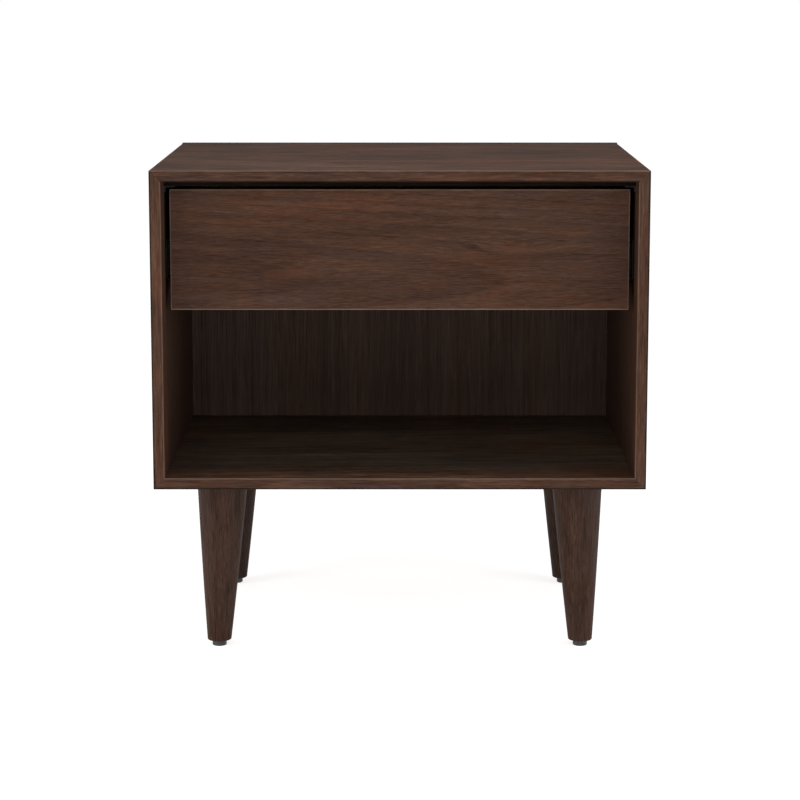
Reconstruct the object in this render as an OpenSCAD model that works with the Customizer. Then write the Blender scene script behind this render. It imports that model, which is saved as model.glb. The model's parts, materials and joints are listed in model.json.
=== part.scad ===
// Nightstand: a mitred box case on four turned legs, with one slide-out drawer over an open niche.
// Origin: on the floor, under the middle of the case. +Z is up and the drawer opens towards -Y.

/* [Case] */
// Outside width of the case, left to right
case_w = 560; // [500:5:640]
// Outside depth of the case, front edge to rear edge
case_d = 430; // [430:5:500]
// Height of the case alone, without the legs
case_h = 363; // [330:1:420]
// Thickness of the four mitred case panels
panel_t = 13; // [13:0.5:16]
// Thickness of the back panel
back_t = 12; // [9:0.5:12]
// Distance from the case's rear edge to the back panel's rear face
back_inset = 28; // [20:1:28]
// Depth of the grooves that hold the back panel
groove_d = 4; // [3:0.5:5]
// Play of a board in its groove, on each side
groove_play = 0.1; // [0.05:0.05:0.2]

/* [Corner splines] */
// Width of the spline across the mitre
spline_w = 10; // [8:0.5:10]
// Thickness of the spline
spline_t = 2; // [1.5:0.5:2.5]
// Distance of the spline's middle from the inside corner, as a share of the mitre
spline_share = 0.4; // [0.36:0.01:0.44]
// How far the spline stays back from the case's front edge
spline_front = 15; // [10:1:30]

/* [Front rail] */
// Height of the rail under the top
rail_h = 8; // [7:0.5:10]
// Depth of the rail, front to back
rail_d = 60; // [40:1:80]
// Sheet thickness of the rail's angle brackets
bracket_t = 1.5; // [1:0.1:1.5]
// Length of the bracket leg under the rail
bracket_l = 12; // [12:0.5:20]
// Length of the bracket leg against the side
bracket_drop = 7; // [5:0.5:9]
// Width of a bracket, front to back
bracket_w = 14; // [12:1:18]

/* [Legs] */
// Height of the wooden leg, from glide to case
leg_h = 194; // [150:1:230]
// Leg diameter at the case
leg_top_d = 59.5; // [50:0.5:64]
// Leg diameter at the floor end
leg_foot_d = 28; // [26:0.5:34]
// Outward bulge of the taper at mid height, on the radius
leg_bulge = 0.45; // [0:0.05:1]
// Chamfer around the floor end
leg_chamfer = 1; // [0.5:0.1:2]
// Distance of the leg's foot centre from the case's sides, front and back
leg_inset = 68; // [60:1:90]
// How far the foot stands outside the leg's top, in X and in Y
leg_splay = 5.5; // [0:0.5:8]
// Diameter of the hanger bolt
bolt_d = 8; // [8:1:10]
// Length of the hanger bolt inside the leg
bolt_leg_l = 45; // [35:1:60]
// Outside diameter of the threaded insert in the bottom panel
insert_d = 12; // [12:0.5:14]
// Wood left over the insert
insert_cover = 2; // [1.5:0.5:3]

/* [Glides] */
// Height of the glide under the leg
glide_h = 7; // [5:0.5:9]
// Diameter of the glide
glide_d = 16.7; // [14:0.1:20]
// Rounding of the glide's lower edge
glide_round = 1.2; // [0.5:0.1:1.5]
// Shank diameter of the nail that holds the glide
nail_d = 2.4; // [2:0.1:3]
// Head diameter of that nail
nail_head_d = 6; // [5:0.5:8]
// Length of the nail inside the leg
nail_leg_l = 20; // [15:1:30]

/* [Drawer] */
// Distance from the case's front edge back to the drawer face
face_recess = 40; // [36:1:44]
// Thickness of the drawer face
face_t = 16; // [14:0.5:18]
// Height of the drawer face
face_h = 138; // [134:1:150]
// Gap between the drawer face and each side
face_gap = 6; // [5:0.5:8]
// Gap between the drawer face and the rail
rail_gap = 3.4; // [3:0.1:5]
// Length of the drawer box behind the face
box_l = 318; // [312:1:326]
// Height of the drawer box
box_h = 104; // [90:1:106]
// Thickness of the drawer box boards
box_t = 12; // [11:0.5:13]
// Depth of the rabbets that take the box's front and back boards
rabbet_d = 6; // [5:0.5:7]
// How far the face hangs below the box, as the finger pull
lip_h = 14; // [10:1:20]
// Thickness of the drawer bottom
floor_t = 6; // [5:0.5:8]
// Height of the drawer bottom over the box's lower edge
floor_lift = 6; // [5:0.5:10]
// Depth of the grooves that hold the drawer bottom
floor_groove = 5; // [4:0.5:6]

/* [Slides] */
// Length of each slide member
slide_l = 300; // [290:5:300]
// Width of the closed slide, between the case side and the drawer box
slide_w = 12.7; // [12.7:0.1:13.2]
// Height of the case member
slide_h = 45; // [45:0.5:47]
// Sheet thickness of the members
slide_t = 1.2; // [1:0.1:1.2]
// Sheet thickness of the ball cages
cage_t = 0.4; // [0.3:0.1:0.4]
// Length of a ball cage
cage_l = 140; // [100:5:140]
// Ball diameter
ball_d = 3.1; // [3:0.1:3.2]
// Play of a ball on each side of its race
ball_play = 0.1; // [0.05:0.01:0.1]
// Balls in each row
ball_count = 5; // [3:1:7]
// Distance of the slide's middle above the box's lower edge
slide_lift = 42; // [40:1:56]
// Distance from the box's front end back to the slide
slide_back = 3; // [2:1:6]

/* [Screws] */
// Shank diameter of the wood screws
screw_d = 3.5; // [3:0.5:4]
// Head diameter of the wood screws
screw_head_d = 7; // [6:0.5:8]
// Head height of the pan-head screws
screw_head_h = 1.9; // [1.5:0.1:2]
// Radial play of a screw in its hole
screw_play = 0.05; // [0.02:0.01:0.1]
// Length of the screws that hold the slides and brackets
screw_short_l = 9.5; // [8:0.5:10]
// Length of the screws that hold the drawer face
screw_long_l = 24; // [22:1:25]

/* [Hidden] */
$fn = 64;
cut = 1;
half = 0.5;
black = [0.08, 0.08, 0.09];
wood_dark = [0.30, 0.20, 0.15];
wood_face = [0.36, 0.24, 0.18];
wood_box = [0.72, 0.58, 0.40];
ply = [0.62, 0.48, 0.33];
dull_grey = [0.26, 0.26, 0.27];
steel = [0.45, 0.46, 0.48];
brass = [0.75, 0.62, 0.30];
plastic = [0.25, 0.25, 0.25];

case_z = glide_h + leg_h;
top_z = case_z + case_h;
floor_z = case_z + panel_t;
ceil_z = top_z - panel_t;
half_w = case_w * half;
half_d = case_d * half;
inner_x = half_w - panel_t;

back_y1 = half_d - back_inset;
back_y0 = back_y1 - back_t;

face_y0 = face_recess - half_d;
face_y1 = face_y0 + face_t;
face_x = inner_x - face_gap;
rail_z = ceil_z - rail_h;
face_z1 = rail_z - rail_gap;
face_z0 = face_z1 - face_h;

box_y0 = face_y1;
box_y1 = box_y0 + box_l;
box_x = inner_x - slide_w;
box_z0 = face_z0 + lip_h;
box_z1 = box_z0 + box_h;
rabbet_x = box_x - rabbet_d;
tray_z0 = box_z0 + floor_lift;
tray_z1 = tray_z0 + floor_t;
groove_x = box_x - box_t + floor_groove;
groove_y0 = box_y0 + box_t - floor_groove;
groove_y1 = box_y1 - box_t + floor_groove;

slide_z = box_z0 + slide_lift;
slide_y0 = box_y0 + slide_back;
gap = 0.3;
flange_short = 2.7;
cage_short = 1;
run_share = 0.4;

// Slide section: u runs from the case side to the drawer box, w is height from the slide's middle.
race = ball_d + 2 * ball_play;
case_w_half = slide_h * half;
case_flange_u = slide_w - flange_short;
mid_u0 = slide_t + gap + cage_t + gap;
mid_w_half = case_w_half - slide_t - race;
mid_flange_u = case_flange_u - cage_t;
run_w_half = mid_w_half - slide_t - race;
run_u0 = slide_w * run_share;
cage_out_u0 = slide_t + gap;
cage_out_w = case_w_half - slide_t - race * half;
cage_out_u1 = mid_flange_u - cage_short;
ball_out_u = (mid_u0 + mid_flange_u) * half;
cage_in_u0 = mid_u0 + slide_t + gap;
cage_in_w = mid_w_half - slide_t - race * half;
ball_in_u = (run_u0 + mid_flange_u) * half;
cage_y0 = slide_y0 + slide_l * half - cage_l * half - gap;
ball_pitch = cage_l / ball_count;

spline_at = panel_t * spline_share;
spline_y1 = back_y0 - spline_front;
mitre = 45;

foot_x = half_w - leg_inset;
foot_y = half_d - leg_inset;
hip_x = foot_x - leg_splay;
hip_y = foot_y - leg_splay;
leg_tilt = atan(leg_splay / leg_h);
leg_steps = 8;
over = 4;

insert_l = panel_t - insert_cover;
bolt_short = 0.5;
bolt_case_l = insert_l - bolt_short;
seat_share = 0.4;
glide_seat = glide_h * seat_share;
nail_head_h = 1.2;

case_screw_end = 30;
case_screws_y = [slide_y0 + case_screw_end, slide_y0 + slide_l * half, slide_y0 + slide_l - case_screw_end];
run_screw_end = 40;
run_screws_y = [slide_y0 + run_screw_end, slide_y0 + slide_l - run_screw_end];
face_screw_x = 150;
face_screws_x = [-face_screw_x, face_screw_x];
face_screw_low = 30;
face_screw_high = 20;
face_screws_z = [box_z0 + face_screw_low, box_z1 - face_screw_high];
rail_screw_x = 170;
rail_screws_x = [-rail_screw_x, 0, rail_screw_x];
rail_screw_l = rail_h + panel_t * half;
rail_mid_y = face_y0 + rail_d * half;
bracket_screw_l = 7.6;
bracket_hole_share = 0.6;
bracket_front = 3;
bracket_y0 = face_y0 + bracket_front;

function leg_r(t) = (leg_foot_d + (leg_top_d - leg_foot_d) * t) * half + 4 * leg_bulge * t * (1 - t);
leg_curve = [for (i = [0 : leg_steps]) [leg_r(i / leg_steps), leg_h * i / leg_steps]];
leg_ends = [[leg_r(1), leg_h + over], [0, leg_h + over], [0, -over], [leg_r(0), -over]];
leg_profile = concat(leg_curve, leg_ends);

// A box from one corner to the other.
module block(lo, hi) {
    translate(lo) cube(hi - lo);
}

// Parts are drawn on the right-hand side; side -1 mirrors them to the left.
module on_side(side) {
    mirror([side < 0 ? 1 : 0, 0, 0]) children();
}

module on_both() {
    on_side(-1) children();
    on_side(1) children();
}

module at_each_leg() {
    for (side = [-1, 1]) {
        for (end = [-1, 1]) {
            translate([side * hip_x, end * hip_y, case_z]) children();
        }
    }
}

// An outline in X and Z, drawn out over the case's depth.
module along_case(points) {
    rotate([90, 0, 0]) linear_extrude(height = case_d, center = true) polygon(points);
}

// A pan-head screw: the head sits on z = 0 and the shank runs down.
module pan_screw(length) {
    translate([0, 0, -length]) cylinder(d = screw_d, h = length);
    cylinder(d = screw_head_d, h = screw_head_h);
}

module screw_bore(length) {
    translate([0, 0, -length - screw_play]) cylinder(r = screw_d * half + screw_play, h = length + cut);
}

// A countersunk screw: its flat top is at z = 0 and the shank runs down. With play it is the hole for one.
module flat_screw(length, play) {
    head_h = (screw_head_d - screw_d) * half;
    head_r = screw_head_d * half + play;
    translate([0, 0, -length - play]) cylinder(r = screw_d * half + play, h = length);
    translate([0, 0, -head_h]) cylinder(r1 = screw_d * half + play, r2 = head_r, h = head_h);
    if (play > 0) cylinder(r = head_r, h = cut);
}

// ---- Case ----

module back_space(play) {
    reach = groove_d - groove_play + play;
    block([-inner_x - reach, back_y0 - play, floor_z - reach],
          [inner_x + reach, back_y1 + play, ceil_z + reach]);
}

module spline(play) {
    grow = spline_t + 2 * play;
    wide = spline_w + 2 * play;
    y0 = spline_front - half_d - play;
    y1 = spline_y1 + play;
    for (level = [0, 1]) {
        z = level == 0 ? floor_z - spline_at : ceil_z + spline_at;
        turn = level == 0 ? -mitre : mitre;
        translate([inner_x + spline_at, (y0 + y1) * half, z]) rotate([0, turn, 0])
            cube([wide, y1 - y0, grow], center = true);
    }
}

module all_splines(play) {
    on_both() spline(play);
}

module case_screw_set(play) {
    for (y = case_screws_y) {
        translate([inner_x - slide_t, y, slide_z]) rotate([0, -90, 0]) flat_screw(screw_short_l, play);
    }
}

module bracket_screw_set() {
    x = inner_x - bracket_l * bracket_hole_share;
    y = bracket_y0 + bracket_w * half;
    translate([x, y, rail_z - bracket_t]) rotate([180, 0, 0]) children();
}

module rail_screw_set() {
    for (x = rail_screws_x) {
        translate([x, rail_mid_y, rail_z + screw_head_h]) rotate([180, 0, 0]) children();
    }
}

module top_panel() {
    color(wood_dark) difference() {
        along_case([[-half_w, top_z], [half_w, top_z], [inner_x, ceil_z], [-inner_x, ceil_z]]);
        back_space(groove_play);
        all_splines(groove_play);
        rail_screw_set() screw_bore(rail_screw_l);
    }
}

module bottom_panel() {
    color(wood_dark) difference() {
        along_case([[-half_w, case_z], [-inner_x, floor_z], [inner_x, floor_z], [half_w, case_z]]);
        back_space(groove_play);
        all_splines(groove_play);
        at_each_leg() translate([0, 0, -cut])
            cylinder(r = insert_d * half + screw_play, h = insert_l + cut + groove_play);
    }
}

module side_panel(side) {
    color(wood_dark) on_side(side) difference() {
        along_case([[inner_x, floor_z], [half_w, case_z], [half_w, top_z], [inner_x, ceil_z]]);
        back_space(groove_play);
        spline(groove_play);
        case_screw_set(screw_play);
    }
}

module back_panel() {
    color(wood_dark) back_space(0);
}

module front_rail() {
    color(wood_dark) difference() {
        block([-inner_x, face_y0, rail_z], [inner_x, face_y0 + rail_d, ceil_z]);
        rail_screw_set() screw_bore(rail_screw_l);
        rail_screw_set() cylinder(r = screw_head_d * half + groove_play, h = screw_head_h + cut);
        on_both() bracket_screw_set() flat_screw(bracket_screw_l, screw_play);
    }
}

module corner_splines() {
    color(ply) all_splines(0);
}

module rail_screws() {
    color(steel) rail_screw_set() pan_screw(rail_screw_l);
}

module rail_brackets() {
    y1 = bracket_y0 + bracket_w;
    color(dull_grey) on_both() difference() {
        block([inner_x - bracket_l, bracket_y0, rail_z - bracket_drop], [inner_x, y1, rail_z]);
        block([inner_x - bracket_l - cut, bracket_y0 - cut, rail_z - bracket_drop - cut],
              [inner_x - bracket_t, y1 + cut, rail_z - bracket_t]);
        bracket_screw_set() flat_screw(bracket_screw_l, screw_play);
    }
}

module bracket_screws() {
    color(steel) on_both() bracket_screw_set() flat_screw(bracket_screw_l, 0);
}

// ---- Legs ----

module leg(side, end) {
    edge_r = leg_foot_d * half - leg_chamfer;
    color(wood_dark) difference() {
        intersection() {
            translate([side * foot_x, end * foot_y, glide_h]) rotate([end * leg_tilt, -side * leg_tilt, 0])
                rotate_extrude() polygon(leg_profile);
            translate([side * foot_x, end * foot_y, glide_h])
                cylinder(r1 = edge_r, r2 = edge_r + leg_h, h = leg_h);
        }
        translate([side * hip_x, end * hip_y, case_z - bolt_leg_l - cut])
            cylinder(r = bolt_d * half + screw_play, h = bolt_leg_l + 2 * cut);
        translate([side * foot_x, end * foot_y, glide_h - cut])
            cylinder(r = nail_d * half + screw_play, h = nail_leg_l + 2 * cut);
    }
}

module leg_inserts() {
    color(brass) at_each_leg() difference() {
        cylinder(d = insert_d, h = insert_l);
        translate([0, 0, -cut]) cylinder(r = bolt_d * half + screw_play, h = insert_l + 2 * cut);
    }
}

module hanger_bolts() {
    color(steel) at_each_leg() translate([0, 0, -bolt_leg_l])
        cylinder(d = bolt_d, h = bolt_leg_l + bolt_case_l);
}

module glide(side, end) {
    flat_r = glide_d * half - glide_round;
    color(plastic) translate([side * foot_x, end * foot_y, 0]) difference() {
        union() {
            translate([0, 0, glide_round]) cylinder(d = glide_d, h = glide_h - glide_round);
            cylinder(r = flat_r, h = glide_round);
            translate([0, 0, glide_round]) rotate_extrude() translate([flat_r, 0]) circle(r = glide_round);
        }
        translate([0, 0, -cut]) cylinder(r = nail_head_d * half + groove_play, h = glide_seat + cut);
        cylinder(r = nail_d * half + screw_play, h = glide_h + cut);
    }
}

module glide_nails() {
    for (side = [-1, 1]) {
        for (end = [-1, 1]) {
            color(steel) translate([side * foot_x, end * foot_y, glide_seat]) {
                cylinder(d = nail_d, h = glide_h - glide_seat + nail_leg_l);
                translate([0, 0, -nail_head_h]) cylinder(d = nail_head_d, h = nail_head_h);
            }
        }
    }
}

// ---- Slides ----

// Local frame of the right-hand slide: x is u, y runs back from the slide's front end, z is w.
module in_slide(side) {
    on_side(side) translate([inner_x, 0, slide_z]) mirror([1, 0, 0]) children();
}

// A channel whose web is on the low-u side, or on the high-u side if flip is 1.
module channel(u0, u1, w, t, y0, length, flip) {
    open_u0 = flip == 1 ? u0 - cut : u0 + t;
    open_u1 = flip == 1 ? u1 - t : u1 + cut;
    difference() {
        block([u0, y0, -w], [u1, y0 + length, w]);
        block([open_u0, y0 - cut, t - w], [open_u1, y0 + length + cut, w - t]);
    }
}

module slide_case(side) {
    color(black) difference() {
        in_slide(side) channel(0, case_flange_u, case_w_half, slide_t, slide_y0, slide_l, 0);
        on_side(side) case_screw_set(screw_play);
    }
}

module slide_case_screws() {
    color(steel) on_both() case_screw_set(0);
}

module slide_middle(side) {
    color(black) in_slide(side) channel(mid_u0, mid_flange_u, mid_w_half, slide_t, slide_y0, slide_l, 0);
}

module ball_rows(u, w) {
    for (row = [-1, 1]) {
        for (i = [0 : ball_count - 1]) {
            translate([u, cage_y0 + ball_pitch * (i + half), row * w]) children();
        }
    }
}

module cage(side, u0, u1, w, ball_u) {
    color(steel) in_slide(side) difference() {
        channel(u0, u1, w + cage_t * half, cage_t, cage_y0, cage_l, 0);
        ball_rows(ball_u, w) cylinder(r = ball_d * half + ball_play, h = 2 * cage_t, center = true);
    }
}

module balls(side, ball_u, w) {
    color(steel) in_slide(side) ball_rows(ball_u, w) sphere(d = ball_d);
}

module run_screw_set() {
    for (y = run_screws_y) {
        translate([box_x + slide_t, y, slide_z]) rotate([0, 90, 0]) children();
    }
}

module slide_drawer(side) {
    color(black) difference() {
        in_slide(side) channel(run_u0, slide_w, run_w_half, slide_t, slide_y0, slide_l, 1);
        on_side(side) run_screw_set() screw_bore(slide_t + cut);
    }
}

module slide_drawer_screws() {
    color(steel) on_both() run_screw_set() pan_screw(screw_short_l);
}

// ---- Drawer ----

module face_screw_set() {
    for (x = face_screws_x) {
        for (z = face_screws_z) {
            translate([x, box_y0 + box_t, z]) rotate([-90, 0, 0]) children();
        }
    }
}

module tray(play) {
    block([-groove_x + groove_play - play, groove_y0 + groove_play - play, tray_z0 - play],
          [groove_x - groove_play + play, groove_y1 - groove_play + play, tray_z1 + play]);
}

module drawer_face() {
    color(wood_face) difference() {
        block([-face_x, face_y0, face_z0], [face_x, face_y1, face_z1]);
        face_screw_set() screw_bore(screw_long_l);
    }
}

module box_front() {
    color(wood_box) difference() {
        block([-rabbet_x, box_y0, box_z0], [rabbet_x, box_y0 + box_t, box_z1]);
        tray(groove_play);
        face_screw_set() screw_bore(screw_long_l);
    }
}

module box_back() {
    color(wood_box) difference() {
        block([-rabbet_x, box_y1 - box_t, box_z0], [rabbet_x, box_y1, box_z1]);
        tray(groove_play);
    }
}

module box_side(side) {
    color(wood_box) on_side(side) difference() {
        block([box_x - box_t, box_y0, box_z0], [box_x, box_y1, box_z1]);
        block([box_x - box_t - cut, box_y0 - cut, box_z0 - cut], [rabbet_x, box_y0 + box_t, box_z1 + cut]);
        block([box_x - box_t - cut, box_y1 - box_t, box_z0 - cut], [rabbet_x, box_y1 + cut, box_z1 + cut]);
        tray(groove_play);
        run_screw_set() screw_bore(screw_short_l);
    }
}

module box_bottom() {
    color(ply) tray(0);
}

module face_screws() {
    color(steel) face_screw_set() pan_screw(screw_long_l);
}

top_panel();
bottom_panel();
side_panel(-1);  // side_left
side_panel(1);  // side_right
back_panel();
front_rail();
corner_splines();
rail_screws();
rail_brackets();
bracket_screws();
leg(-1, -1);  // leg_front_left
leg(1, -1);  // leg_front_right
leg(-1, 1);  // leg_rear_left
leg(1, 1);  // leg_rear_right
leg_inserts();
hanger_bolts();
glide(-1, -1);  // glide_front_left
glide(1, -1);  // glide_front_right
glide(-1, 1);  // glide_rear_left
glide(1, 1);  // glide_rear_right
glide_nails();
slide_case(-1);  // slide_case_left
slide_case(1);  // slide_case_right
slide_case_screws();
slide_middle(-1);  // slide_middle_left
slide_middle(1);  // slide_middle_right
cage(-1, cage_out_u0, cage_out_u1, cage_out_w, ball_out_u);  // cage_outer_left
cage(1, cage_out_u0, cage_out_u1, cage_out_w, ball_out_u);  // cage_outer_right
balls(-1, ball_out_u, cage_out_w);  // balls_outer_left
balls(1, ball_out_u, cage_out_w);  // balls_outer_right
cage(-1, cage_in_u0, mid_flange_u, cage_in_w, ball_in_u);  // cage_inner_left
cage(1, cage_in_u0, mid_flange_u, cage_in_w, ball_in_u);  // cage_inner_right
balls(-1, ball_in_u, cage_in_w);  // balls_inner_left
balls(1, ball_in_u, cage_in_w);  // balls_inner_right
slide_drawer(-1);  // slide_drawer_left
slide_drawer(1);  // slide_drawer_right
slide_drawer_screws();
drawer_face();
box_front();
box_back();
box_side(-1);  // box_side_left
box_side(1);  // box_side_right
box_bottom();
face_screws();
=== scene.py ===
"""Nightstand: the looks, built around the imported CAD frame.

Metres, in the CAD frame: +Z is up, the drawer opens towards -Y, the floor is z = 0.
"""
import json
import math

import bmesh
import bpy
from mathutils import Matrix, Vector


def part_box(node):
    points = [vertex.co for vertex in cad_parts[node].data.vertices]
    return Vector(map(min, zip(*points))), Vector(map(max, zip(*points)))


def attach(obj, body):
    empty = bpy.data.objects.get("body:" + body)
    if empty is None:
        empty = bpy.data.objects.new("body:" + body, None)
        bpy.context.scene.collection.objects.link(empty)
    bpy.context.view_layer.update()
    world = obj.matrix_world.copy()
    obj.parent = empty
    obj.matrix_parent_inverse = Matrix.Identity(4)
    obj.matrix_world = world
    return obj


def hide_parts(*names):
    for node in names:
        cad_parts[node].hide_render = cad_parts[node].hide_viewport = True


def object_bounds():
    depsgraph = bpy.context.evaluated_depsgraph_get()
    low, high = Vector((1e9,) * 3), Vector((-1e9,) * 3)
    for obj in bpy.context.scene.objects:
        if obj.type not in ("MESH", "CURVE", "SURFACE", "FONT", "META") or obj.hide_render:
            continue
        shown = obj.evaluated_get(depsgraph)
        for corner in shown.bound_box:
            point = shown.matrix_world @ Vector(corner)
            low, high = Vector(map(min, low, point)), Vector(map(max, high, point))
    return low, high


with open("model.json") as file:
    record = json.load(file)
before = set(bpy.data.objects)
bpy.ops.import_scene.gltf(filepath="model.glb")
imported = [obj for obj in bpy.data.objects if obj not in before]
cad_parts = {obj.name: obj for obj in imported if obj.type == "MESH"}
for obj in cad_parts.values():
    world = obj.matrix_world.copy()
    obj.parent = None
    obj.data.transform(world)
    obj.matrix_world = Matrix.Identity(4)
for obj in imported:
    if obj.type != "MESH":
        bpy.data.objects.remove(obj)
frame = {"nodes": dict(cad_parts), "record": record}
CAD_LO, CAD_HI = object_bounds()

MM = 0.001
SHARP_ANGLE = math.radians(35)

# Rounded edges of the wooden pieces.
CASE_ARRIS = 0.9 * MM
CASE_INNER_ARRIS = 0.8 * MM
FACE_ARRIS = 1.1 * MM
BOARD_ARRIS = 0.6 * MM
ARC_STEPS = 5
MITRE_GAP = 0.05 * MM
MITRE_STEP = 0.4 * MM

# Turned legs and their glides.
LEG_SIDES = 72
LEG_STEPS = 20
LEG_BULGE = 0.45 * MM
LEG_FOOT_D = 28 * MM
LEG_TOP_D = 59.5 * MM
LEG_SPLAY = 5.5 * MM
LEG_FOOT_EASE = 1.0 * MM
LEG_TOP_EASE = 0.4 * MM
GLIDE_ROUND = 1.2 * MM
GLIDE_HEAD_R = 3.2 * MM
GLIDE_SHANK_R = 1.3 * MM
GLIDE_SEAT = 2.8 * MM
GLIDE_MOUTH = 0.3 * MM
GLIDE_EASE = 0.5 * MM
GLIDE_EASE_MIDDLE = 0.15 * MM
# The legs are painted darker as painted shade under the case, the rear ones more.
LEG_PAINTED_SHADE = {"front": 0.64, "rear": 0.39}

# Drawer box joints, as in the CAD model.
RABBET = 6 * MM
BOX_T = 12 * MM
BACK_PLAY = 0.2 * MM
METAL_BEVEL = 0.15 * MM

# Camera, at the photograph's viewing angle.
CAMERA_PLACE = (0.0003, -2.9172, 0.7921)
CAMERA_TILT = 9.096
CAMERA_LENS = 109.31
CAMERA_SHIFT_Y = -0.06
SENSOR = 36.0


# ---- Shader building ----

class Shader:
    """One node material. add() makes a node, wires or sets its inputs, and returns one of its outputs."""

    def __init__(self, name):
        self.material = bpy.data.materials.new(name)
        self.material.use_nodes = True
        self.tree = self.material.node_tree
        self.tree.nodes.clear()

    def add(self, kind, inputs=None, output=0, **settings):
        node = self.tree.nodes.new("ShaderNode" + kind)
        for key, value in settings.items():
            setattr(node, key, value)
        for key, value in (inputs or {}).items():
            if isinstance(value, bpy.types.NodeSocket):
                self.tree.links.new(value, node.inputs[key])
            else:
                node.inputs[key].default_value = value
        return node.outputs[output]

    def math(self, operation, a, b=0.0, c=0.0):
        return self.add("Math", {0: a, 1: b, 2: c}, operation=operation)

    def vector(self, operation, a, b):
        return self.add("VectorMath", {0: a, 1: b}, operation=operation)

    def noise(self, place, scale=1.0, detail=2.0, roughness=0.5, distortion=0.0):
        return self.add("TexNoise", {"Vector": place, "Scale": scale, "Detail": detail,
                                     "Roughness": roughness, "Distortion": distortion})

    def mix(self, share, a, b, blend="MIX"):
        return self.add("Mix", {0: share, 6: a, 7: b}, 2, data_type="RGBA", blend_type=blend)

    def between(self, value, low, high, to_low=0.0, to_high=1.0, smooth=True):
        kind = "SMOOTHSTEP" if smooth else "LINEAR"
        return self.add("MapRange", {0: value, 1: low, 2: high, 3: to_low, 4: to_high},
                        interpolation_type=kind)

    def grey(self, value):
        return self.add("CombineColor", {0: value, 1: value, 2: value})

    def ramp(self, value, stops):
        out = self.add("ValToRGB", {0: value})
        elements = out.node.color_ramp.elements
        while len(elements) < len(stops):
            elements.new(0.5)
        for element, (place, colour) in zip(elements, stops):
            element.position = place
            element.color = (*colour, 1.0)
        return out

    def surface(self, inputs):
        shader = self.add("BsdfPrincipled", inputs)
        out = self.tree.nodes.new("ShaderNodeOutputMaterial")
        self.tree.links.new(shader, out.inputs["Surface"])
        return self.material


def linear(r, g, b):
    """An sRGB colour, 0 to 255, as linear light."""
    return tuple((c / 12.92 if c <= 0.04045 else ((c + 0.055) / 1.055) ** 2.4)
                 for c in (r / 255, g / 255, b / 255))


# ---- Wood ----

# Each tone: stain from dark to light, the warm and cool tints that drift over it, and the shine. Its pale
# edge colour serves for wear and for a painted highlight, and its pore colour also serves for the painted
# shade on edges.
WALNUT = {
    "stops": [(0.0, linear(37, 21, 14)), (0.35, linear(66, 42, 30)),
              (0.65, linear(81, 54, 40)), (1.0, linear(101, 72, 55))],
    "warm": (1.28, 1.06, 0.81), "cool": (0.8, 0.9, 1.05), "drift": 0.7, "eye": linear(96, 58, 38),
    "pore": linear(24, 14, 10), "worn_and_painted_edge": linear(128, 108, 94),
    "rough": (0.5, 0.64), "spec": 0.15, "ring": 1.0,
}
WALNUT_LEG = dict(WALNUT, drift=0.6, ring=0.7)
WALNUT_RAIL = dict(WALNUT, spec=0.03)
WALNUT_SIDE = dict(WALNUT, drift=0.45)
WALNUT_BACK = dict(
    WALNUT, warm=(1.08, 1.0, 0.96), cool=(0.9, 0.96, 1.04), drift=0.6, ring=0.6,
    stops=[(0.0, linear(37, 24, 18)), (0.35, linear(65, 48, 40)),
           (0.65, linear(80, 62, 53)), (1.0, linear(99, 81, 71))])
DRAWER_WOOD = {
    "stops": [(0.0, linear(168, 134, 92)), (0.4, linear(196, 163, 118)),
              (0.7, linear(208, 178, 134)), (1.0, linear(220, 193, 152))],
    "warm": (1.04, 0.93, 0.8), "cool": (0.9, 0.96, 1.02), "drift": 0.6, "eye": linear(150, 112, 74),
    "pore": linear(142, 108, 72), "worn_and_painted_edge": linear(224, 200, 164),
    "rough": (0.5, 0.65), "spec": 0.3, "ring": 0.7,
}

# How much each feature moves the place on the stain's ramp, around the middle of it.
STAIN_MIDDLE = 0.56
RING_WEIGHT = -0.2
BAND_WEIGHT = 0.5
STREAK_WEIGHT = 0.8
FIBRE_WEIGHT = 1.05
LINE_WEIGHT = -0.2
FLECK_WEIGHT = 0.18
PATCH_WEIGHT = 0.7

# Feature sizes of the grain: along it, and across it.
DRIFT_SIZE = (0.24, 0.05)
PATCH_SIZE = (0.05, 0.009)
BAND_SIZE = (0.18, 0.012)
STREAK_SIZE = (0.05, 0.0019)
FIBRE_SIZE = (0.015, 0.0009)
LINE_SIZE = (0.03, 0.0012)
FLECK_SIZE = (0.016, 0.0014)
PORE_SIZE = (0.007, 0.00034)
WAVE_SIZE = (0.12, 0.05)
WEAR_AND_PAINTED_EDGE_SIZE = (0.03, 0.006)
WAVE_DEPTH = 0.003

# Growth rings: their spacing, how far behind the board the trunk's middle lies, and its tilt to the board.
RING_SPACING = 0.0075
RING_DEPTH = 0.085
RING_TILT = 0.035

# Inside the case: painted shade, the cooler and greyer tints of the sides and of the shelf, and how far in
# they are complete.
INSIDE_PAINTED_SHADE_TINT = (0.84, 1.02, 1.22)
SHELF_PAINTED_SHADE_TINT = (1.08, 1.68, 2.15)
PAINTED_SHADE_FULL_DEPTH = 0.09

# Edges: pale wear that is partly a painted highlight, and on one side a painted shade instead; how strongly
# that painted shade darkens them, how much wider it is, and how far the edge marks reach.
EDGE_PAINTED_SHADE = 0.95
EDGE_PAINTED_SHADE_SPREAD = 0.5
WEAR_AND_PAINTED_EDGE_REACH = 1.6 * MM

# The face's darkest grain runs this far below its middle, which paints light on the face's top edge.
HEART_DROP_FOR_PAINTED_LIGHT = 0.012

# Eyes in the face's grain: along and above its middle, half length, half height, and the grain's bend.
FACE_EYES = ((0.131, 0.0, 0.05, 0.01, 0.008), (0.082, -0.004, 0.03, 0.007, 0.005),
             (-0.12, -0.027, 0.06, 0.012, 0.006))


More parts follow.
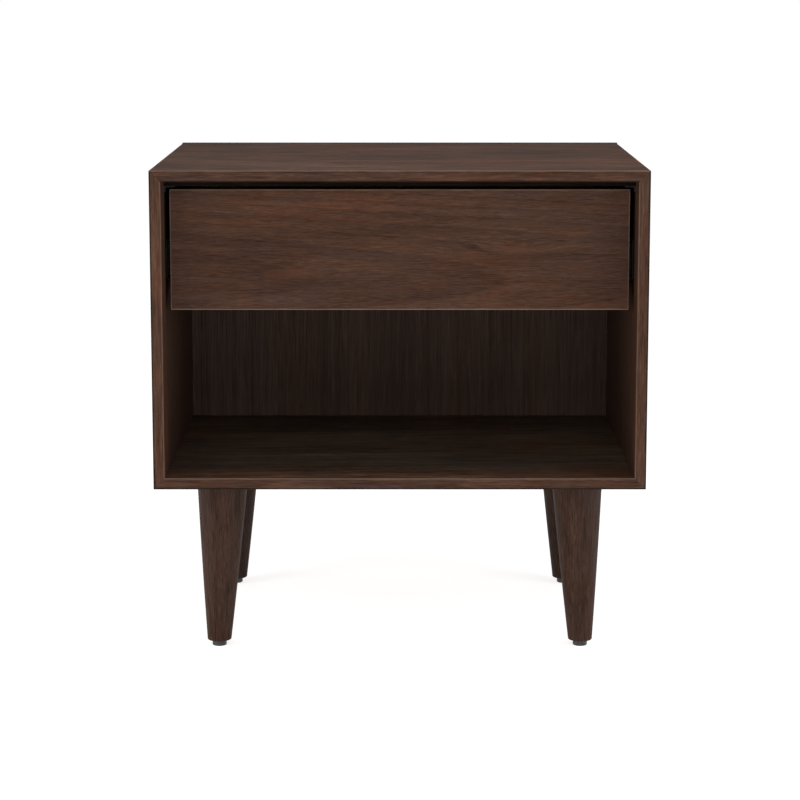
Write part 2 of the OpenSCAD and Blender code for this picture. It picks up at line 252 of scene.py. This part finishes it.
def grain_place(s, axis, seed):
    """Object coordinates, the same with the grain along the first axis, and the board's place in its tree.
    """
    place = s.add("TexCoord", output=3)
    parts = s.add("SeparateXYZ", {0: place}).node.outputs
    along, across, deep = {"X": (0, 2, 1), "Z": (2, 0, 1), "Y": (1, 2, 0)}[axis]
    turned = s.add("CombineXYZ", {0: parts[along], 1: parts[across], 2: parts[deep]})
    shift = (seed * 0.731 % 5.0 + 0.5, seed * 0.377 % 3.0, seed * 0.193 % 2.0)
    return place, turned, shift


def stretched(s, place, size):
    """place in units of a feature that is size[0] long and size[1] wide."""
    return s.vector("MULTIPLY", place, (1 / size[0], 1 / size[1], 1 / size[1]))


def bent(s, turned, shift, eyes, wide, long):
    """The grain's own coordinates: it waves along the board, runs round each eye, is wide times coarser from
    front to back than from edge to edge, and long times longer than usual."""
    wave = s.noise(stretched(s, s.vector("ADD", turned, shift), WAVE_SIZE), detail=2.0, roughness=0.5)
    parts = s.add("SeparateXYZ", {0: turned}).node.outputs
    across = s.math("MULTIPLY_ADD", wave, WAVE_DEPTH, parts[1])
    near = None
    for along, middle, length, width, lift in eyes:
        u = s.math("DIVIDE", s.math("SUBTRACT", parts[0], along), length)
        v = s.math("DIVIDE", s.math("SUBTRACT", parts[1], middle), width)
        spread = s.math("ADD", s.math("MULTIPLY", u, u), s.math("MULTIPLY", v, v))
        bump = s.math("EXPONENT", s.math("MULTIPLY", spread, -1.0))
        across = s.math("MULTIPLY_ADD", bump, lift, across)
        near = bump if near is None else s.math("MAXIMUM", near, bump)
    along, deep = s.math("DIVIDE", parts[0], long), s.math("DIVIDE", parts[2], wide)
    return s.add("CombineXYZ", {0: along, 1: across, 2: deep}), near


def rings(s, grain, centre, spacing):
    """Growth rings of a trunk that runs nearly along the grain: 0, rising to 1 at each ring's dark edge."""
    parts = s.add("SeparateXYZ", {0: grain}).node.outputs
    side = s.math("SUBTRACT", parts[1], centre[0])
    deep = s.math("SUBTRACT", parts[2], centre[1])
    radius = s.math("SQRT", s.math("ADD", s.math("MULTIPLY", side, side), s.math("MULTIPLY", deep, deep)))
    radius = s.math("MULTIPLY_ADD", parts[0], RING_TILT, radius)
    step = s.math("FRACT", s.math("DIVIDE", radius, spacing))
    rise = s.math("POWER", step, 2.5)
    return s.math("MULTIPLY", rise, s.between(step, 1.0, 0.93))


def arris_band(s, place, lo, hi, moved, wider):
    """1 on the board's edges, fading to 0 a little way in: the second smallest distance to its faces."""
    half = (hi - lo) / 2
    away = s.add("VectorMath", {0: s.vector("SUBTRACT", place, (lo + hi) / 2)}, operation="ABSOLUTE")
    left = s.vector("SUBTRACT", tuple(half), away)
    x, y, z = s.add("SeparateXYZ", {0: left}).node.outputs
    low, high = s.math("MINIMUM", x, y), s.math("MAXIMUM", x, y)
    second = s.math("MAXIMUM", low, s.math("MINIMUM", high, z))
    patchy = s.noise(stretched(s, moved, WEAR_AND_PAINTED_EDGE_SIZE), detail=3.0)
    reach = s.math("MULTIPLY", s.math("MULTIPLY_ADD", patchy, WEAR_AND_PAINTED_EDGE_REACH, WEAR_AND_PAINTED_EDGE_REACH / 2), wider)
    return s.math("SUBTRACT", 1.0, s.between(s.math("DIVIDE", second, reach), 0.45, 1.0))


def towards(s, place, lo, hi, facing):
    """0 in the half of the board away from facing, 1 in the half nearer to it."""
    across = s.add("VectorMath", {0: s.vector("SUBTRACT", place, (lo + hi) / 2), 1: facing}, 1,
                   operation="DOT_PRODUCT")
    return s.between(across, -MM, MM)


def wood(name, node, axis, seed, tone=WALNUT, eyes=(), wear_and_painted_edge=0.45, light=1.0, painted_shade_side=None, heart_and_painted_light=0.0,
         bold=1.0, bands=1.0, wide=1.0, long=1.0, painted_shade_face=None, painted_shade_tint=INSIDE_PAINTED_SHADE_TINT):
    """A stained, oiled board: rings, bands, streaks, fibres, pores, colour drift, edges that are partly worn
    and partly painted highlight and painted shade, painted light and shade, shine and bump.

    axis is the grain's direction, and seed picks the board's place in its tree. eyes, wide and long are as in
    bent. wear_and_painted_edge is how strongly the edges are made pale, partly wear and partly a painted
    highlight. painted_shade_side is the direction in which they are darkened instead, which is a painted
    shade. light is the board's brightness: painted light and shade, set board by board.
    heart_and_painted_light is how much darker the flat-sawn middle of the board is than its straight-grained
    edges, and on the drawer face it also paints light on the top edge. bold strengthens the streaks, and
    bands the broad ones. painted_shade_face is the direction of the face that the light doesn't reach, and
    painted_shade_tint multiplies the colour there: painted shade, cooler and greyer deeper in.
    """
    s = Shader(name)
    place, turned, shift = grain_place(s, axis, seed)
    grain, near = bent(s, turned, shift, eyes, wide, long)
    moved = s.vector("ADD", grain, shift)
    lo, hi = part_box(node)
    x, y, z = ((a + b) / 2 for a, b in zip(lo, hi))
    side, deep = {"X": (z, y), "Z": (x, y), "Y": (z, x)}[axis]
    centre = (side + ((seed * 0.37) % 1.0 - 0.5) * 0.08, deep + RING_DEPTH)
    ring = rings(s, grain, centre, RING_SPACING)

    band = s.noise(stretched(s, moved, BAND_SIZE), detail=3.0, roughness=0.6)
    streak = s.noise(stretched(s, moved, STREAK_SIZE), detail=3.0, roughness=0.65)
    fibre = s.noise(stretched(s, moved, FIBRE_SIZE), detail=2.0, roughness=0.6)
    line = s.between(s.noise(stretched(s, moved, LINE_SIZE), detail=2.0, roughness=0.7), 0.56, 0.7)
    fleck = s.between(s.noise(stretched(s, moved, FLECK_SIZE), detail=1.0), 0.58, 0.74)
    pore = s.between(s.noise(stretched(s, moved, PORE_SIZE), detail=1.0), 0.62, 0.72)

    value = s.math("MULTIPLY_ADD", ring, RING_WEIGHT * tone["ring"], STAIN_MIDDLE)
    value = s.math("MULTIPLY_ADD", s.math("SUBTRACT", band, 0.5), BAND_WEIGHT * bands, value)
    value = s.math("MULTIPLY_ADD", s.math("SUBTRACT", streak, 0.5), STREAK_WEIGHT * bold, value)
    value = s.math("MULTIPLY_ADD", s.math("SUBTRACT", fibre, 0.5), FIBRE_WEIGHT, value)
    value = s.math("MULTIPLY_ADD", line, LINE_WEIGHT, value)
    value = s.math("MULTIPLY_ADD", fleck, FLECK_WEIGHT, value)
    colour = s.ramp(value, tone["stops"])

    drift = s.noise(stretched(s, moved, DRIFT_SIZE), detail=3.0, roughness=0.55)
    patch = s.noise(stretched(s, moved, PATCH_SIZE), detail=2.0, roughness=0.6)
    drift = s.math("MULTIPLY_ADD", s.math("SUBTRACT", patch, 0.5), PATCH_WEIGHT, drift)
    warm = s.math("MULTIPLY", s.between(drift, 0.48, 0.74), tone["drift"])
    cool = s.math("MULTIPLY", s.between(drift, 0.5, 0.26), tone["drift"])
    colour = s.mix(warm, colour, s.mix(1.0, colour, (*tone["warm"], 1.0), "MULTIPLY"))
    colour = s.mix(cool, colour, s.mix(1.0, colour, (*tone["cool"], 1.0), "MULTIPLY"))
    if near is not None:
        colour = s.mix(s.math("MULTIPLY", s.between(near, 0.6, 1.0), 0.5), colour, (*tone["eye"], 1.0))
    colour = s.mix(s.math("MULTIPLY", pore, 0.55), colour, (*tone["pore"], 1.0))
    # Painted shade: deeper inside the case the colour is tinted cooler and greyer.
    if painted_shade_face is not None:
        painted_shade_share = s.math("MULTIPLY", towards(s, place, lo, hi, painted_shade_face), s.between(
            s.add("SeparateXYZ", {0: place}, 1), lo.y, lo.y + PAINTED_SHADE_FULL_DEPTH))
        colour = s.mix(painted_shade_share, colour, s.mix(1.0, colour, (*painted_shade_tint, 1.0), "MULTIPLY"))
    # Edge colour: pale, for wear and for a painted highlight. Towards the painted_shade_side it becomes the
    # pore colour, stronger and wider, as a painted shade.
    rubbed, wider = (*tone["worn_and_painted_edge"], 1.0), 1.0
    if painted_shade_side is not None:
        outer = towards(s, place, lo, hi, painted_shade_side)
        rubbed = s.mix(outer, rubbed, (*tone["pore"], 1.0))
        wear_and_painted_edge = s.math("MULTIPLY_ADD", outer, EDGE_PAINTED_SHADE - wear_and_painted_edge, wear_and_painted_edge)
        wider = s.math("MULTIPLY_ADD", outer, EDGE_PAINTED_SHADE_SPREAD, 1.0)
    worn_and_painted_edge = s.math("MULTIPLY", arris_band(s, place, lo, hi, moved, wider), wear_and_painted_edge)
    colour = s.mix(worn_and_painted_edge, colour, rubbed)
    # A darker middle of the grain. Shifted down by HEART_DROP_FOR_PAINTED_LIGHT, it also paints light on the
    # face's top edge. It is scaled by light, a painted brightness.
    if heart_and_painted_light:
        parts = s.add("SeparateXYZ", {0: turned}).node.outputs
        out = s.math("ABSOLUTE", s.math("SUBTRACT", parts[1], side - HEART_DROP_FOR_PAINTED_LIGHT))
        reach = (hi.z - lo.z if axis == "X" else hi.x - lo.x) / 2
        shade = s.between(out, reach * 0.4, reach, light * (1 - heart_and_painted_light), light * (1 + heart_and_painted_light))
        colour = s.mix(1.0, colour, s.grey(shade), "MULTIPLY")
    # Painted light and shade: the colour scaled by the board's light value.
    elif light != 1.0:
        colour = s.mix(1.0, colour, (light, light, light, 1.0), "MULTIPLY")

    low, high = tone["rough"]
    rough = s.between(s.math("ADD", s.math("MULTIPLY", fibre, 0.6), s.math("MULTIPLY", band, 0.4)),
                      0.35, 0.65, low, high)
    height = s.math("SUBTRACT", s.math("MULTIPLY_ADD", fibre, 0.5, s.math("MULTIPLY", streak, 0.5)), pore)
    normal = s.add("Bump", {"Strength": 0.22, "Distance": 0.12 * MM, "Height": height})
    sheen = s.math("MULTIPLY_ADD", band, 0.35, s.math("MULTIPLY", fibre, 0.2))
    sheen = s.math("MULTIPLY_ADD", streak, 0.45, sheen)
    spec = s.between(sheen, 0.38, 0.62, tone["spec"] * 0.6, tone["spec"] * 1.4)
    return s.surface({"Base Color": colour, "Roughness": rough, "Normal": normal,
                      "Specular IOR Level": spec})


def plywood(name, seed):
    """The drawer bottom's veneer and the splines' plies."""
    s = Shader(name)
    place, turned, shift = grain_place(s, "Y", seed)
    moved = s.vector("ADD", turned, shift)
    streak = s.noise(stretched(s, moved, (0.09, 0.004)), detail=4.0, roughness=0.6)
    fibre = s.noise(stretched(s, moved, (0.02, 0.0006)), detail=2.0)
    value = s.math("MULTIPLY_ADD", s.math("SUBTRACT", fibre, 0.5), 0.5, streak)
    colour = s.ramp(value, [(0.2, linear(176, 142, 100)), (0.55, linear(203, 172, 128)),
                            (0.85, linear(219, 192, 152))])
    depth = s.add("SeparateXYZ", {0: place}, 2)
    plies = s.math("SINE", s.math("MULTIPLY", depth, 2 * math.pi / (1.5 * MM)))
    colour = s.mix(s.between(plies, 0.6, 1.0, 0.0, 0.06), colour, (*linear(140, 104, 66), 1.0))
    rough = s.between(fibre, 0.3, 0.7, 0.5, 0.68)
    normal = s.add("Bump", {"Strength": 0.2, "Distance": 0.1 * MM, "Height": value})
    return s.surface({"Base Color": colour, "Roughness": rough, "Normal": normal,
                      "Specular IOR Level": 0.3})


# ---- Metal and plastic ----

def metal(name, dark, pale, rough, along=(0.03, 0.0012), mottle=0.006):
    """Rolled or plated metal: fine lines of the sheet, plating mottle, and smudged shine."""
    s = Shader(name)
    moved = s.vector("ADD", *grain_place(s, "Y", 3.0)[1:])
    lines = s.noise(stretched(s, moved, along), detail=3.0, roughness=0.6)
    cloud = s.noise(moved, scale=1 / mottle, detail=4.0, roughness=0.6)
    spots = s.between(s.noise(moved, scale=900.0, detail=2.0), 0.66, 0.78)
    colour = s.mix(s.between(cloud, 0.35, 0.65), (*dark, 1.0), (*pale, 1.0))
    colour = s.mix(s.math("MULTIPLY", spots, 0.3), colour, (*dark, 1.0))
    mixed = s.math("MULTIPLY_ADD", lines, 0.5, s.math("MULTIPLY", cloud, 0.5))
    shine = s.between(mixed, 0.35, 0.65, rough[0], rough[1])
    normal = s.add("Bump", {"Strength": 0.12, "Distance": 0.03 * MM, "Height": mixed})
    return s.surface({"Base Color": colour, "Metallic": 1.0, "Roughness": shine, "Normal": normal})


def coated(name, dark, pale, rough):
    """Electro-coated sheet steel: near black, with a faint orange-peel surface and duller, rubbed patches.
    """
    s = Shader(name)
    moved = s.vector("ADD", *grain_place(s, "Y", 4.0)[1:])
    rub = s.noise(stretched(s, moved, (0.04, 0.004)), detail=4.0, roughness=0.65)
    peel = s.noise(moved, scale=1100.0, detail=1.0)
    colour = s.mix(s.between(rub, 0.45, 0.7), (*dark, 1.0), (*pale, 1.0))
    shine = s.between(rub, 0.35, 0.65, rough[0], rough[1])
    normal = s.add("Bump", {"Strength": 0.15, "Distance": 0.03 * MM, "Height": peel})
    return s.surface({"Base Color": colour, "Roughness": shine, "Normal": normal,
                      "Specular IOR Level": 0.3})


def plastic(name, dark, pale, rough):
    """Moulded plastic with a fine spark texture and light scuffs."""
    s = Shader(name)
    moved = s.vector("ADD", *grain_place(s, "Z", 5.0)[1:])
    pits = s.noise(moved, scale=2600.0, detail=2.0)
    scuff = s.noise(moved, scale=420.0, detail=4.0, roughness=0.7)
    colour = s.mix(s.between(scuff, 0.4, 0.68), (*dark, 1.0), (*pale, 1.0))
    shine = s.between(scuff, 0.35, 0.65, rough[0], rough[1])
    normal = s.add("Bump", {"Strength": 0.25, "Distance": 0.04 * MM, "Height": pits})
    return s.surface({"Base Color": colour, "Roughness": shine, "Normal": normal,
                      "Specular IOR Level": 0.4})


# ---- Mesh building ----

def finish_mesh(name, bm, material):
    """The bmesh as a smooth-shaded object with its own material, at the frame's origin."""
    bmesh.ops.remove_doubles(bm, verts=bm.verts, dist=1e-7)
    bmesh.ops.recalc_face_normals(bm, faces=bm.faces)
    mesh = bpy.data.meshes.new(name)
    bm.to_mesh(mesh)
    bm.free()
    mesh.polygons.foreach_set("use_smooth", [True] * len(mesh.polygons))
    mesh.set_sharp_from_angle(angle=SHARP_ANGLE)
    mesh.materials.append(material)
    piece = bpy.data.objects.new(name, mesh)
    bpy.context.scene.collection.objects.link(piece)
    even = piece.modifiers.new("even_normals", "WEIGHTED_NORMAL")
    even.keep_sharp = True
    return piece


def stand_for(piece, node):
    """The piece replaces that CAD node, and rides on the node's body."""
    bodies = frame["record"]["behaviour"]["bodies"]
    body = next(b for b, members in bodies.items() if node in members)
    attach(piece, body)
    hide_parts(node)
    return piece


def eased_block(bm, lo, hi, radius, outline):
    """A board with rounded edges. outline holds its corners, as XY points, if it isn't a plain rectangle."""
    outline = outline or [(lo.x, lo.y), (hi.x, lo.y), (hi.x, hi.y), (lo.x, hi.y)]
    low = [bm.verts.new((x, y, lo.z)) for x, y in outline]
    high = [bm.verts.new((x, y, hi.z)) for x, y in outline]
    bm.faces.new(low[::-1])
    bm.faces.new(high)
    for i in range(len(outline)):
        j = (i + 1) % len(outline)
        bm.faces.new((low[i], low[j], high[j], high[i]))
    bmesh.ops.bevel(bm, geom=list(bm.edges), offset=radius, segments=ARC_STEPS, profile=0.5,
                    affect="EDGES", clamp_overlap=True)


def board(node, material, radius, outline=()):
    bm = bmesh.new()
    lo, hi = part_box(node)
    eased_block(bm, lo, hi, radius, outline)
    return stand_for(finish_mesh(node + "_wood", bm, material), node)


def panel_profile(y0, y1, thick, groove):
    """A case panel's section, round its four eased edges and its groove: (y, distance from the outer face).
    """
    points = []
    corners = [(y0, 0.0, 1, 1, CASE_ARRIS, False), (y0, thick, 1, -1, CASE_INNER_ARRIS, True),
               (y1, thick, -1, -1, CASE_INNER_ARRIS, False), (y1, 0.0, -1, 1, CASE_ARRIS, True)]
    for y, t, along, inward, radius, from_face in corners:
        arc = []
        for i in range(ARC_STEPS + 1):
            a = math.radians(90 * i / ARC_STEPS)
            arc.append((y + along * radius * (1 - math.cos(a)), t + inward * radius * (1 - math.sin(a))))
        points += arc if from_face == (y == y0) else arc[::-1]
        if t == thick and y == y0:
            g0, g1, floor = groove
            points += [(g0, thick), (g0, floor), (g1, floor), (g1, thick)]
    return points


def end_stations(t):
    """Distances from the panel's outer end, and depths, at each step round the case's outer corner."""
    rows = []
    for i in range(ARC_STEPS + 1):
        a = math.radians(45 + 45 * i / ARC_STEPS)
        if t < CASE_ARRIS:
            rest = CASE_ARRIS - t
            rows.append((CASE_ARRIS - rest * math.cos(a), CASE_ARRIS - rest * math.sin(a)))
        else:
            rows.append((t + i * MITRE_STEP, t))
    rows[0] = (rows[0][0] + MITRE_GAP, rows[0][1])
    return rows


def case_panel(node, axis, outer, inward, material):
    """A mitred panel of the case: its profile drawn from one mitre to the other, round the outer corners."""
    lo, hi = Vector((CAD_LO.x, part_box(node)[0].y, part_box("bottom_panel")[0].z)), CAD_HI
    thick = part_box("top_panel")[1].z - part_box("top_panel")[0].z
    back_lo, back_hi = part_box("back_panel")
    groove = (back_lo.y - BACK_PLAY, back_hi.y + BACK_PLAY, thick - (back_hi.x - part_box("front_rail")[1].x))
    profile = panel_profile(lo.y, hi.y, thick, groove)
    u0, u1 = (lo.x, hi.x) if axis == "X" else (lo.z, hi.z)
    bm = bmesh.new()
    lines = []
    for y, t in profile:
        left = [(u0 + u, d) for u, d in end_stations(t)]
        right = [(u1 - u, d) for u, d in end_stations(t)][::-1]
        line = []
        for u, d in left + right:
            w = outer + inward * d
            line.append(bm.verts.new((u, y, w) if axis == "X" else (w, y, u)))
        lines.append(line)
    for i, line in enumerate(lines):
        after = lines[(i + 1) % len(lines)]
        for k in range(len(line) - 1):
            bm.faces.new((line[k], line[k + 1], after[k + 1], after[k]))
    bm.faces.new([line[0] for line in lines])
    bm.faces.new([line[-1] for line in lines][::-1])
    return stand_for(finish_mesh(node + "_wood", bm, material), node)


def lathe(name, sections, sides, material, closed=False):
    """A turned form through sections of (centre, radius). closed joins the last one to the first."""
    bm = bmesh.new()
    loops = []
    for centre, radius in sections:
        angles = [2 * math.pi * i / sides for i in range(sides)]
        loops.append([bm.verts.new((centre.x + radius * math.cos(a), centre.y + radius * math.sin(a),
                                    centre.z)) for a in angles])
    pairs = list(zip(loops, loops[1:])) + ([(loops[-1], loops[0])] if closed else [])
    for low, high in pairs:
        for i in range(sides):
            j = (i + 1) % sides
            bm.faces.new((low[i], low[j], high[j], high[i]))
    if not closed:
        bm.faces.new(loops[0][::-1])
        bm.faces.new(loops[-1])
    return finish_mesh(name, bm, material)


# ---- The case ----

def build_case():
    # Each board's light value is painted light and shade: the top and the shelf a little darker, the sides
    # and the back lighter, and the right side a little less than the left.
    top = wood("walnut_top", "top_panel", "X", 1.0, painted_shade_side=(0, 0, -1), bands=2.6, wide=3.0, light=0.97)
    # The top, the shelf and the sides darken the edges on their painted_shade_side, below or outside, as
    # painted shade.
    case_panel("top_panel", "X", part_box("top_panel")[1].z, -1, top)
    # The shelf and the sides are tinted cooler and greyer towards the back, as painted shade.
    shelf = wood("walnut_bottom", "bottom_panel", "X", 2.3, painted_shade_side=(0, 0, -1), painted_shade_face=(0, 0, 1),
                 painted_shade_tint=SHELF_PAINTED_SHADE_TINT, bands=2.2, wide=2.6, light=0.95)
    case_panel("bottom_panel", "X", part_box("bottom_panel")[0].z, 1, shelf)
    left = wood("walnut_side_left", "side_left", "Z", 3.7, WALNUT_SIDE, light=1.1, wear_and_painted_edge=0.3,
                painted_shade_side=(-1, 0, 0), painted_shade_face=(1, 0, 0))
    case_panel("side_left", "Z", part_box("side_left")[0].x, 1, left)
    right = wood("walnut_side_right", "side_right", "Z", 5.1, WALNUT_SIDE, light=1.08, wear_and_painted_edge=0.3,
                 painted_shade_side=(1, 0, 0), painted_shade_face=(-1, 0, 0))
    case_panel("side_right", "Z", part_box("side_right")[1].x, -1, right)
    # The back is painted 15 % lighter: painted light in the shaded space under the drawer.
    back = wood("walnut_back", "back_panel", "Z", 6.6, WALNUT_BACK, wear_and_painted_edge=0.0, light=1.15,
                bold=0.42, long=3.0)
    board("back_panel", back, BOARD_ARRIS)
    # The rail is painted at 0.14 of the case's brightness: painted shade under the top's overhang.
    rail = wood("walnut_rail_painted_shade", "front_rail", "X", 7.2, WALNUT_RAIL, wear_and_painted_edge=0.0, light=0.14)
    board("front_rail", rail, BOARD_ARRIS)


def build_drawer():
    middle = sum(corner.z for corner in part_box("drawer_face")) / 2
    eyes = [(along, middle + above, *shape) for along, above, *shape in FACE_EYES]
    # The drawer face: its pale edges are wear and painted highlight, its top edge is painted lighter through
    # heart_and_painted_light, and light 1.04 is painted brightness.
    face = wood("walnut_drawer_face", "drawer_face", "X", 8.4, eyes=eyes, wear_and_painted_edge=0.75, heart_and_painted_light=0.12, light=1.04,
                bold=0.32, bands=0.8)
    board("drawer_face", face, FACE_ARRIS)
    for i, node in enumerate(("box_front", "box_back")):
        pale = wood("pale_" + node, node, "X", 10.3 + i, DRAWER_WOOD, wear_and_painted_edge=0.2)
        board(node, pale, BOARD_ARRIS)
    for side, node in ((-1, "box_side_left"), (1, "box_side_right")):
        lo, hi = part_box(node)
        outer, inner = (lo.x, hi.x) if side < 0 else (hi.x, lo.x)
        step = outer - side * RABBET
        outline = [(outer, lo.y), (step, lo.y), (step, lo.y + BOX_T), (inner, lo.y + BOX_T),
                   (inner, hi.y - BOX_T), (step, hi.y - BOX_T), (step, hi.y), (outer, hi.y)]
        pale = wood("pale_" + node, node, "Y", 12.6 + side, DRAWER_WOOD, wear_and_painted_edge=0.2)
        board(node, pale, BOARD_ARRIS, outline)


# ---- Legs and glides ----

def leg_sections(foot, hip, z0, z1):
    """Sections up the leg: the eased floor end, the slightly bulged taper, and the eased top."""
    places = []
    for i in range(ARC_STEPS + 1):
        a = math.radians(90 * i / ARC_STEPS)
        places.append((LEG_FOOT_EASE * (1 - math.cos(a)), LEG_FOOT_EASE * (1 - math.sin(a))))
    height = z1 - z0
    for i in range(1, LEG_STEPS):
        places.append((LEG_FOOT_EASE + (height - LEG_FOOT_EASE - LEG_TOP_EASE) * i / LEG_STEPS, 0.0))
    for i in range(ARC_STEPS + 1):
        a = math.radians(90 * i / ARC_STEPS)
        places.append((height - LEG_TOP_EASE * (1 - math.sin(a)), LEG_TOP_EASE * (1 - math.cos(a))))
    found = []
    for up, cut in places:
        t = up / height
        radius = (LEG_FOOT_D + (LEG_TOP_D - LEG_FOOT_D) * t) / 2 + 4 * LEG_BULGE * t * (1 - t)
        centre = foot.lerp(hip, t)
        found.append((Vector((centre.x, centre.y, z0 + up)), radius - cut))
    return found


def glide_sections(centre, radius, height):
    """The glide's section, from the nail's hole out round the rounded rim and back."""
    section = [(GLIDE_SHANK_R, GLIDE_SEAT), (GLIDE_HEAD_R, GLIDE_SEAT), (GLIDE_HEAD_R, GLIDE_MOUTH),
               (GLIDE_HEAD_R + GLIDE_MOUTH, 0.0)]
    for i in range(ARC_STEPS + 2):
        a = math.radians(90 * i / (ARC_STEPS + 1))
        section.append((radius - GLIDE_ROUND * (1 - math.sin(a)), GLIDE_ROUND * (1 - math.cos(a))))
    section += [(radius, height - GLIDE_EASE), (radius - GLIDE_EASE_MIDDLE, height - GLIDE_EASE_MIDDLE),
                (radius - GLIDE_EASE, height), (GLIDE_SHANK_R, height)]
    return [(Vector((centre.x, centre.y, z)), r) for r, z in section]


def build_legs():
    grey = plastic("glide_grey", linear(52, 52, 53), linear(82, 82, 83), (0.32, 0.5))
    seeds = iter((14.2, 15.9, 17.3, 18.8))
    for end, row in ((-1, "front"), (1, "rear")):
        for side, hand in ((-1, "left"), (1, "right")):
            node, glide = f"leg_{row}_{hand}", f"glide_{row}_{hand}"
            g_lo, g_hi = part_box(glide)
            lo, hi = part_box(node)
            foot = (g_lo + g_hi) / 2
            hip = foot - Vector((side * LEG_SPLAY, end * LEG_SPLAY, 0.0))
            # Painted shade: the leg's brightness is lowered, more for the rear legs.
            shade = LEG_PAINTED_SHADE[row]
            material = wood("walnut_" + node, node, "Z", next(seeds), WALNUT_LEG, wear_and_painted_edge=0.0, light=shade)
            leg = lathe(node + "_wood", leg_sections(foot, hip, lo.z, hi.z), LEG_SIDES, material)
            stand_for(leg, node)
            sections = glide_sections(foot, (g_hi.x - g_lo.x) / 2, g_hi.z)
            pad = lathe(glide + "_pad", sections, LEG_SIDES, grey, closed=True)
            stand_for(pad, glide)


# ---- Hardware that stays as CAD nodes ----

def dress_hardware():
    grey = coated("grey_coat", linear(36, 36, 38), linear(50, 50, 52), (0.6, 0.75))
    black = coated("black_coat", linear(6, 6, 7), linear(11, 11, 12), (0.6, 0.75))
    cage = metal("cage_steel", linear(120, 121, 122), linear(146, 147, 149), (0.35, 0.5))
    ground = metal("steel_screw", linear(150, 150, 152), linear(186, 186, 188), (0.25, 0.42))
    bright = metal("steel_ball", linear(190, 191, 194), linear(215, 216, 218), (0.08, 0.2))
    brass = metal("brass_insert", linear(176, 142, 74), linear(205, 172, 98), (0.28, 0.45))
    ply = plywood("birch_ply", 21.0)
    chosen = {"slide": black, "rail_brackets": grey, "cage": cage, "balls": bright, "leg_inserts": brass,
              "corner_splines": ply, "box_bottom": ply}
    for name, node in frame["nodes"].items():
        if node.hide_render:
            continue
        material = next((m for start, m in chosen.items() if name.startswith(start)), ground)
        if "screws" in name:
            material = ground
        node.data.materials.clear()
        node.data.materials.append(material)
        if material in (black, grey, ply):
            ease = node.modifiers.new("ease", "BEVEL")
            ease.width = METAL_BEVEL
            ease.segments = 2
            ease.limit_method = "ANGLE"


# ---- Stage, light and camera ----

# The floor's own light, to the camera and to the object, its half width, and how far it lies under z = 0.
FLOOR_GLOW = 0.74
FLOOR_BOUNCE = 0.4
FLOOR_HALF = 30.0
FLOOR_DROP = 0.2 * MM
WORLD_LIGHT = 0.3


def build_floor():
    """A wide pale floor that keeps only the soft shadows at the feet."""
    bm = bmesh.new()
    bmesh.ops.create_grid(bm, x_segments=2, y_segments=2, size=FLOOR_HALF)
    s = Shader("pale_floor")
    place = s.add("TexCoord", output=3)
    tone = s.between(s.noise(place, scale=3.0, detail=3.0), 0.3, 0.7, 0.97, 1.0)
    colour = s.mix(1.0, (0.98, 0.98, 0.975, 1.0), s.grey(tone), "MULTIPLY")
    glow = s.between(s.add("LightPath"), 0.0, 1.0, FLOOR_BOUNCE, FLOOR_GLOW, smooth=False)
    material = s.surface({"Base Color": colour, "Roughness": 0.9, "Specular IOR Level": 0.0,
                          "Emission Color": (1.0, 1.0, 0.995, 1.0), "Emission Strength": glow})
    floor = finish_mesh("floor", bm, material)
    floor.location.z = -FLOOR_DROP


def build_world():
    """White to the camera, and a softer grey-white light on the object."""
    world = bpy.data.worlds.new("studio")
    world.use_nodes = True
    bpy.context.scene.world = world
    nodes, links = world.node_tree.nodes, world.node_tree.links
    nodes.clear()
    seen = nodes.new("ShaderNodeLightPath").outputs["Is Camera Ray"]
    shade, back = nodes.new("ShaderNodeBackground"), nodes.new("ShaderNodeBackground")
    shade.inputs["Color"].default_value = (1.0, 1.0, 1.0, 1.0)
    shade.inputs["Strength"].default_value = WORLD_LIGHT
    back.inputs["Color"].default_value = (1.0, 1.0, 1.0, 1.0)
    join, out = nodes.new("ShaderNodeMixShader"), nodes.new("ShaderNodeOutputWorld")
    links.new(seen, join.inputs[0])
    links.new(shade.outputs[0], join.inputs[1])
    links.new(back.outputs[0], join.inputs[2])
    links.new(join.outputs[0], out.inputs["Surface"])


def area_light(name, place, target, size, power):
    data = bpy.data.lights.new(name, "AREA")
    data.shape = "RECTANGLE"
    data.size, data.size_y = size
    data.energy = power
    lamp = bpy.data.objects.new(name, data)
    lamp.location = place
    lamp.visible_camera = False
    lamp.rotation_euler = (Vector(target) - Vector(place)).to_track_quat("-Z", "Y").to_euler()
    bpy.context.scene.collection.objects.link(lamp)


def build_stage():
    build_floor()
    build_world()
    area_light("front", (0.0, -3.4, 0.6), (0.0, 0.0, 0.35), (1.2, 0.8), 6.0)
    area_light("upper_front", (0.0, -2.2, 1.7), (0.0, -0.1, 0.3), (1.2, 0.8), 9.0)
    for side, strength in ((-1, 1.0), (1, 1.06)):
        area_light(f"front_{side}", (side * 2.4, -2.5, 0.55), (0.0, 0.0, 0.35), (1.0, 1.0), 7.0 * strength)
        area_light(f"side_{side}", (side * 0.9, -0.3, 0.35), (0.0, -0.1, 0.25), (0.4, 0.4), 1.6 * strength)
    area_light("top", (0.1, -0.26, 1.25), (0.1, -0.22, 0.5), (1.2, 0.2), 5.7)
    bpy.context.scene.view_settings.view_transform = "Standard"


def build_camera():
    data = bpy.data.cameras.new("camera")
    data.lens = CAMERA_LENS
    data.sensor_width = SENSOR
    data.shift_y = CAMERA_SHIFT_Y
    camera = bpy.data.objects.new("camera", data)
    camera.location = CAMERA_PLACE
    camera.rotation_euler = (math.radians(90 - CAMERA_TILT), 0.0, 0.0)
    bpy.context.scene.collection.objects.link(camera)
    bpy.context.scene.camera = camera


build_case()
build_drawer()
build_legs()
dress_hardware()
build_stage()
build_camera()
